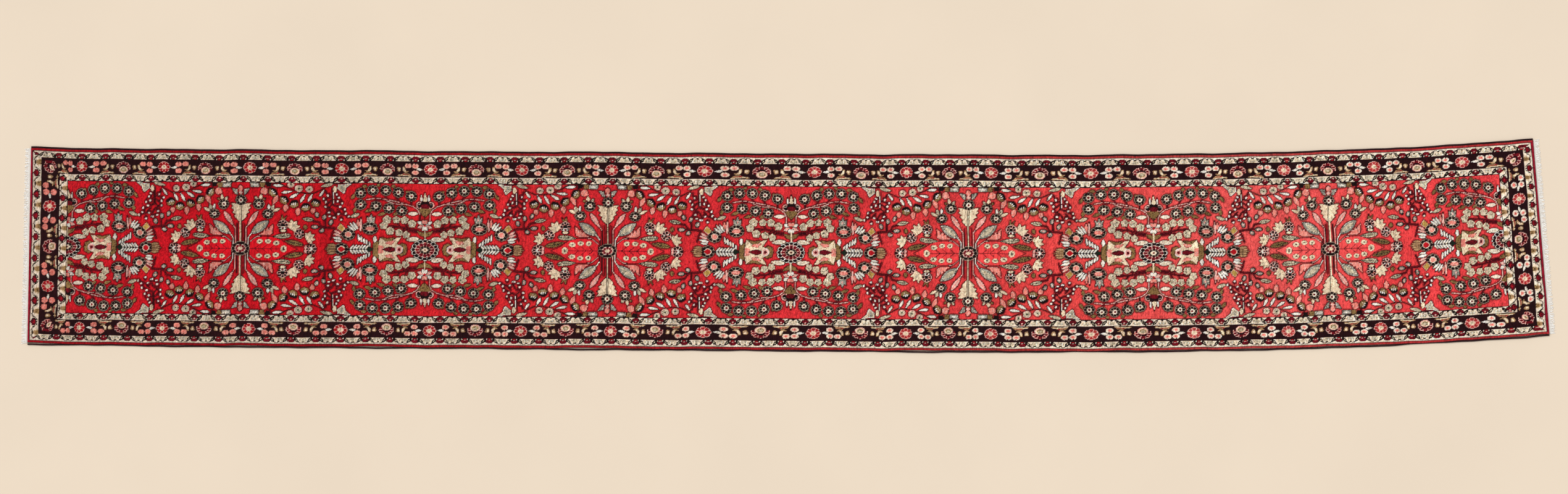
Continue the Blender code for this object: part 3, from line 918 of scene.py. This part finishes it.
def make_webs(cotton):
    """The flat-woven web at both ends: ribs of weft over pairs of warps."""
    made = []
    across = np.linspace(-HALF_PILE, HALF_PILE, 2 * COLUMNS + 1)
    out = np.linspace(HALF_LENGTH, HALF_LENGTH + WEB_LENGTH, 13)
    rib = 0.0003 * np.cos(math.pi * np.arange(13))[:, None] * np.cos(math.pi * np.arange(across.size))
    for word, sign in (("left", -1), ("right", 1)):
        u, v = np.meshgrid(np.sort(sign * out), across, indexing="ij")
        z = WEB_THICKNESS + rib + 0.0002 * waver(v, 0.06, 13)
        mesh = slab_mesh(f"web_{word}", place(u, v, z), u, v, 0.0)
        made.append(show(f"web_{word}", mesh, cotton, "cotton", f"{word}_end", f"web_end_{word}"))
    return made


# Geometry Nodes


def add(tree, kind, inputs=(), **settings):
    """Adds a node with its settings, and its inputs: values, or other nodes' outputs to link."""
    made = tree.nodes.new(kind)
    for name, value in settings.items():
        setattr(made, name, value)
    for name, value in dict(inputs).items():
        if isinstance(value, bpy.types.NodeSocket):
            tree.links.new(value, made.inputs[name])
        else:
            made.inputs[name].default_value = value
    return made


def calculate(tree, operation, *values):
    """The result of a sum on numbers or on other nodes' outputs."""
    return add(tree, "ShaderNodeMath", dict(enumerate(values)), operation=operation).outputs[0]


def noise(tree, at, scale, detail, **settings):
    """The value of a noise texture, from 0 to 1."""
    inputs = {"Vector": at, "Scale": scale, "Detail": detail, **settings}
    return add(tree, "ShaderNodeTexNoise", inputs).outputs["Fac"]


def xyz(tree, **values):
    """A vector of the named coordinates."""
    return add(tree, "ShaderNodeCombineXYZ", values).outputs[0]


def new_tree(name, **inputs):
    """An empty Geometry Nodes tree with the named inputs, and its input and output nodes."""
    kinds = {float: "NodeSocketFloat", int: "NodeSocketInt", bpy.types.Material: "NodeSocketMaterial"}
    tree = bpy.data.node_groups.new(name, "GeometryNodeTree")
    tree.interface.new_socket("Geometry", in_out="INPUT", socket_type="NodeSocketGeometry")
    for key, kind in inputs.items():
        tree.interface.new_socket(key, in_out="INPUT", socket_type=kinds[kind])
    tree.interface.new_socket("Geometry", in_out="OUTPUT", socket_type="NodeSocketGeometry")
    return tree, add(tree, "NodeGroupInput").outputs, add(tree, "NodeGroupOutput")


def grow(name, path, tree, **values):
    """Runs a tree on a path of points and gives the plain mesh that it makes."""
    mesh = bpy.data.meshes.new(name)
    mesh.from_pydata([tuple(p) for p in path], [(n, n + 1) for n in range(len(path) - 1)], [])
    carrier = link(name + "_path", mesh)
    modifier = carrier.modifiers.new("grow", "NODES")
    modifier.node_group = tree
    sockets = {s.name: s.identifier for s in tree.interface.items_tree if s.in_out == "INPUT"}
    for key, value in values.items():
        modifier[sockets[key]] = value
    depsgraph = bpy.context.evaluated_depsgraph_get()
    made = bpy.data.meshes.new_from_object(carrier.evaluated_get(depsgraph), depsgraph=depsgraph)
    made.name = name
    bpy.data.objects.remove(carrier)
    return made


def finish_tree(tree, geometry, material, output):
    real = add(tree, "GeometryNodeRealizeInstances", {"Geometry": geometry})
    painted = add(tree, "GeometryNodeSetMaterial", {"Geometry": real.outputs[0], "Material": material})
    tree.links.new(painted.outputs[0], output.inputs[0])
    return tree


def move(tree, geometry, direction, distance):
    """The geometry with its points moved by a vector times a number."""
    offset = add(tree, "ShaderNodeVectorMath", {0: direction, "Scale": distance},
                 operation="SCALE").outputs[0]
    return add(tree, "GeometryNodeSetPosition", {"Geometry": geometry, "Offset": offset}).outputs[0]


def tube(tree, curve, sides, radius):
    """A closed cord along the curve."""
    ring = add(tree, "GeometryNodeCurvePrimitiveCircle", {"Resolution": sides, "Radius": radius}).outputs[0]
    inputs = {"Curve": curve, "Profile Curve": ring, "Fill Caps": True}
    return add(tree, "GeometryNodeCurveToMesh", inputs).outputs[0]


def overcast_tree():
    """A cord along the path, with the slanting wraps of the yarn that is sewn over it."""
    tree, given, output = new_tree("overcasting", Radius=float, Pitch=float, Depth=float, Sides=int,
                                   Material=bpy.types.Material)
    path = add(tree, "GeometryNodeMeshToCurve", {"Mesh": given["Geometry"]}).outputs[0]
    step = calculate(tree, "DIVIDE", given["Pitch"], STEPS_PER_WRAP)
    even = add(tree, "GeometryNodeResampleCurve", {"Curve": path, "Length": step}, mode="LENGTH").outputs[0]
    cord = tube(tree, even, given["Sides"], given["Radius"])
    normal = add(tree, "GeometryNodeInputNormal").outputs[0]
    place_of = add(tree, "GeometryNodeInputPosition").outputs[0]
    kept = add(tree, "GeometryNodeStoreNamedAttribute", {"Geometry": cord, "Name": "lay", "Value": place_of},
               data_type="FLOAT_VECTOR").outputs[0]
    n, p = (add(tree, "ShaderNodeSeparateXYZ", {0: socket}).outputs for socket in (normal, place_of))
    round_cord = calculate(tree, "ARCTAN2", n["Z"], n["Y"])
    turns = calculate(tree, "DIVIDE", p["X"], given["Pitch"])
    wave = calculate(tree, "COSINE", calculate(tree, "MULTIPLY_ADD", turns, 2 * math.pi, round_cord))
    sunk = calculate(tree, "MULTIPLY_ADD", wave, noise(tree, place_of, 90.0, 1.0), -1.2)
    wrapped = move(tree, kept, normal, calculate(tree, "MULTIPLY", sunk, given["Depth"]))
    return finish_tree(tree, wrapped, given["Material"], output)


def make_edges(yarn):
    made = []
    tree = overcast_tree()
    for side, sign in (("near", -1), ("far", 1)):
        for section, (u0, u1) in SECTIONS.items():
            u = np.linspace(u0, u1, max(2, round((u1 - u0) / 0.02)))
            v = sign * (HALF_PILE + CORD_RADIUS) + 0.0012 * waver(u, 0.45, 8) * sign
            v = v + 0.0008 * waver(u, 0.17, 9)
            name = f"overcast_edge_{side}_{section}"
            mesh = grow(name, place(u, v, CORD_RADIUS + 0.0002), tree, Radius=CORD_RADIUS + 0.0003,
                        Pitch=WRAP_PITCH, Depth=WRAP_DEPTH, Sides=9, Material=yarn)
            nodes = [node for part in ("wrap", "core")
                     for node in body_node(f"selvedge_{part}_{side}_{{}}", section)]
            made.append(show(name, mesh, yarn, "selvedge_black", section, *nodes))
    return made


def fringe_tree():
    """Loose warp ends: thin cords of uneven length that lean and curl a little."""
    tree, given, output = new_tree("fringe", Pitch=float, Length=float, Thickness=float, Turn=float, Seed=int,
                                   Material=bpy.types.Material)
    path = add(tree, "GeometryNodeMeshToCurve", {"Mesh": given["Geometry"]}).outputs[0]
    roots = add(tree, "GeometryNodeCurveToPoints", {"Curve": path, "Length": given["Pitch"]}, mode="LENGTH")
    tip = xyz(tree, X=given["Length"])
    strand = add(tree, "GeometryNodeCurvePrimitiveLine", {"Start": (0, 0, 0), "End": tip})
    jointed = add(tree, "GeometryNodeResampleCurve", {"Curve": strand.outputs[0], "Count": 7})
    lean, stretch = (add(tree, "FunctionNodeRandomValue", {"Min": low, "Max": high, "Seed": given["Seed"]},
                         data_type="FLOAT") for low, high in ((-0.35, 0.35), (0.72, 1.15)))
    turned = xyz(tree, Z=calculate(tree, "ADD", lean.outputs["Value"], given["Turn"]))
    scale = xyz(tree, X=stretch.outputs["Value"], Y=1.0, Z=1.0)
    strands = add(tree, "GeometryNodeInstanceOnPoints",
                  {"Points": roots.outputs[0], "Instance": jointed.outputs[0], "Rotation": turned,
                   "Scale": scale})
    real = add(tree, "GeometryNodeRealizeInstances", {"Geometry": strands.outputs[0]}).outputs[0]
    place_of = add(tree, "GeometryNodeInputPosition").outputs[0]
    curl = add(tree, "ShaderNodeTexNoise", {"Vector": place_of, "Scale": 110.0,
                                            "Detail": 1.0}).outputs["Color"]
    centred = add(tree, "ShaderNodeVectorMath", {0: curl, 1: (0.5, 0.5, 0.5)},
                  operation="SUBTRACT").outputs[0]
    flat = add(tree, "ShaderNodeVectorMath", {0: centred, 1: (1, 1, 0.12)}, operation="MULTIPLY").outputs[0]
    along = add(tree, "GeometryNodeSplineParameter").outputs["Factor"]
    curled = move(tree, real, flat, calculate(tree, "MULTIPLY", along, 0.012))
    cords = tube(tree, curled, 5, given["Thickness"])
    return finish_tree(tree, cords, given["Material"], output)


def make_fringes(cotton):
    made = []
    tree = fringe_tree()
    for word, sign in (("left", -1), ("right", 1)):
        u = sign * (HALF_LENGTH + WEB_LENGTH - 0.001)
        path = place(u, np.linspace(-HALF_PILE, HALF_PILE, 40), 0.0011)
        direction = path[-1] - path[0]
        turn = math.atan2(direction[1], direction[0]) - sign * math.pi / 2
        mesh = grow(f"warp_ends_{word}", path, tree, Pitch=STRAND_PITCH, Length=STRAND_LENGTH,
                    Thickness=STRAND_RADIUS, Turn=turn, Seed=5 + sign, Material=cotton)
        made.append(show(f"warp_ends_{word}", mesh, cotton, "cotton", f"{word}_end", f"fringe_{word}"))
    return made


# Materials

WAVES = math.pi / 10            # a wave texture of this scale repeats every metre


def new_material(name, roughness, sheen=0.0):
    """A Principled material of no shine to speak of, and its tree and shader."""
    material = bpy.data.materials.new(name)
    material.use_nodes = True
    shader = material.node_tree.nodes["Principled BSDF"]
    shader.inputs["Roughness"].default_value = roughness
    shader.inputs["Specular IOR Level"].default_value = 0.1
    shader.inputs["IOR"].default_value = 1.54
    shader.inputs["Sheen Weight"].default_value = sheen
    shader.inputs["Sheen Roughness"].default_value = 0.5
    return material, material.node_tree, shader


def tinted(tree, colour, value, low, high):
    """The colour times a number that follows the value from low to high."""
    tone = add(tree, "ShaderNodeMapRange", {"Value": value, "From Min": 0.25, "From Max": 0.75, "To Min": low,
                                            "To Max": high}).outputs[0]
    factors = {0: colour, 1: xyz(tree, X=tone, Y=tone, Z=tone)}
    return add(tree, "ShaderNodeVectorMath", factors, operation="MULTIPLY").outputs[0]


def plain(tree, colour):
    return xyz(tree, **dict(zip("XYZ", linear(colour)[0])))


def paint(tree, shader, colour, height, strength, distance):
    """Gives the shader its colour, and a bump of the height."""
    tree.links.new(colour, shader.inputs["Base Color"])
    bump = add(tree, "ShaderNodeBump", {"Height": height, "Strength": strength, "Distance": distance})
    tree.links.new(bump.outputs[0], shader.inputs["Normal"])


def along_and_across(tree):
    return add(tree, "ShaderNodeUVMap", uv_map="along_and_across").outputs[0]


def knots_dye(tree):
    return add(tree, "ShaderNodeAttribute", attribute_name="wool").outputs["Color"]


def pile_wool(name):
    """Dyed sheep's wool, knotted and shorn: matt cut ends, each knot a little tuft of its own tone, and broad
    patches of painted sheen and shade where the pile lies one way and another.
    """
    material, tree, shader = new_material(name, 0.92, 0.03)
    at = along_and_across(tree)
    tufts = noise(tree, at, 420.0, 3.0)
    colour = tinted(tree, knots_dye(tree), tufts, 0.8, 1.2)
    # painted sheen and shade of the pile's lay: broad patches lighter and darker
    colour = tinted(tree, colour, noise(tree, at, 16.0, 4.0, Roughness=0.6), 0.88, 1.12)
    paint(tree, shader, colour, tufts, 0.6, 0.0012)
    return material


def waves(tree, at, repeat, direction, distortion=0.0):
    """A wave texture that repeats every so many metres along X or Y."""
    inputs = {"Vector": at, "Scale": WAVES / repeat, "Distortion": distortion}
    return add(tree, "ShaderNodeTexWave", inputs, bands_direction=direction).outputs["Fac"]


def knotted_back():
    """The back: flat knot loops in the same dyes, with the pale cotton weft showing between the rows."""
    material, tree, shader = new_material("cotton_foundation_and_knot_backs", 0.88, 0.05)
    at = along_and_across(tree)
    rows = waves(tree, at, 0.0061, "X", 0.6)
    columns = waves(tree, at, 0.005, "Y")
    weft = add(tree, "ShaderNodeMapRange", {"Value": rows, "From Min": 0.6, "From Max": 1.0,
                                            "To Min": 0.12, "To Max": 0.4}).outputs[0]
    cotton = (*linear("#CDBFA6")[0], 1)
    mixed = add(tree, "ShaderNodeMix", {0: weft, 6: knots_dye(tree), 7: cotton}, data_type="RGBA").outputs[2]
    colour = tinted(tree, mixed, noise(tree, at, 9.0, 4.0), 0.85, 1.1)
    paint(tree, shader, colour, calculate(tree, "ADD", rows, columns), 0.5, 0.0008)
    return material


def cotton_web():
    """Undyed cotton, flat-woven: weft ribs packed over the warps, greyed a little by use, with painted shade
    in the grooves between the ribs.
    """
    material, tree, shader = new_material("undyed_cotton_web", 0.9, 0.08)
    at = along_and_across(tree)
    ribs = waves(tree, at, 0.0025, "Y", 1.0)
    colour = tinted(tree, plain(tree, "#F4F0E8"), noise(tree, at, 40.0, 4.0), 0.88, 1.05)
    # painted shade: darker in the grooves between the ribs and lighter on their crests, following the bump
    paint(tree, shader, tinted(tree, colour, ribs, 0.9, 1.06), ribs, 0.5, 0.0006)
    return material


def cotton_warp():
    """Undyed cotton cord: the warps' loose ends, soiled unevenly."""
    material, tree, shader = new_material("undyed_cotton_warp", 0.92, 0.1)
    at = add(tree, "ShaderNodeTexCoord").outputs["Object"]
    colour = tinted(tree, plain(tree, "#FCFAF6"), noise(tree, at, 60.0, 3.0), 0.94, 1.04)
    paint(tree, shader, colour, noise(tree, at, 900.0, 2.0), 0.4, 0.0003)
    return material


def overcast_yarn():
    """Near-black goat hair and wool yarn, sewn tightly over the edge warps: hairier than the pile."""
    material, tree, shader = new_material("goat_hair_overcasting", 0.75, 0.15)
    at = add(tree, "ShaderNodeAttribute", attribute_name="lay").outputs["Vector"]
    colour = tinted(tree, plain(tree, "#2A1315"), noise(tree, at, 25.0, 3.0), 0.6, 1.5)
    paint(tree, shader, colour, noise(tree, at, 1400.0, 2.0), 0.5, 0.0004)
    return material


def plain_floor():
    """A pale matt floor with a faint unevenness of tone."""
    material, tree, shader = new_material("pale_floor", 0.8)
    at = add(tree, "ShaderNodeTexCoord").outputs["Object"]
    colour = tinted(tree, plain(tree, "#F0E0CC"), noise(tree, at, 1.3, 5.0), 0.97, 1.02)
    tree.links.new(colour, shader.inputs["Base Color"])
    return material


# Scene


def make_floor():
    mesh = bpy.data.meshes.new("floor")
    half = 25.0
    corners = ((-half, -half), (half, -half), (half, half), (-half, half))
    mesh.from_pydata([(x, y, FLOOR_TOP) for x, y in corners], [], [(0, 1, 2, 3)])
    mesh.materials.append(plain_floor())
    link("floor", mesh)


def make_light():
    """An even pale sky and one broad soft lamp from the upper left."""
    world = bpy.data.worlds.new("studio")
    bpy.context.scene.world = world
    world.use_nodes = True
    background = world.node_tree.nodes["Background"]
    background.inputs["Color"].default_value = (1, 0.985, 0.96, 1)
    background.inputs["Strength"].default_value = 0.62
    data = bpy.data.lights.new("soft_lamp", "SUN")
    data.energy = 1.45
    data.angle = math.radians(12)
    data.color = (1, 0.98, 0.95)
    link("soft_lamp", data).rotation_euler = (math.radians(-24), math.radians(-30), 0)


def make_camera():
    """Straight down on the rug from far above, so that the frame takes in VIEW_WIDTH of floor."""
    data = bpy.data.cameras.new("camera")
    data.lens = 85
    data.sensor_width = 36
    data.clip_end = 100
    camera = link("camera", data)
    camera.location = (*VIEW_CENTRE, PILE_TOP + VIEW_WIDTH * data.lens / data.sensor_width)
    bpy.context.scene.camera = camera
    bpy.context.scene.view_settings.view_transform = "Standard"


make_floor()
make_light()
make_camera()
wools = {slot: pile_wool(name) for slot, name in (
    ("field_red", "madder_red_wool_pile"), ("border_brown", "brown_black_wool_pile"),
    ("guard_ivory", "ivory_wool_pile"), ("edge_red", "dark_red_wool_pile"))}
grid = rug_grid()
on_the_sheet = make_pile(grid, wools) + make_edges(overcast_yarn())
on_the_sheet += make_webs(cotton_web()) + make_fringes(cotton_warp())
backs = make_backs(grid, knotted_back())
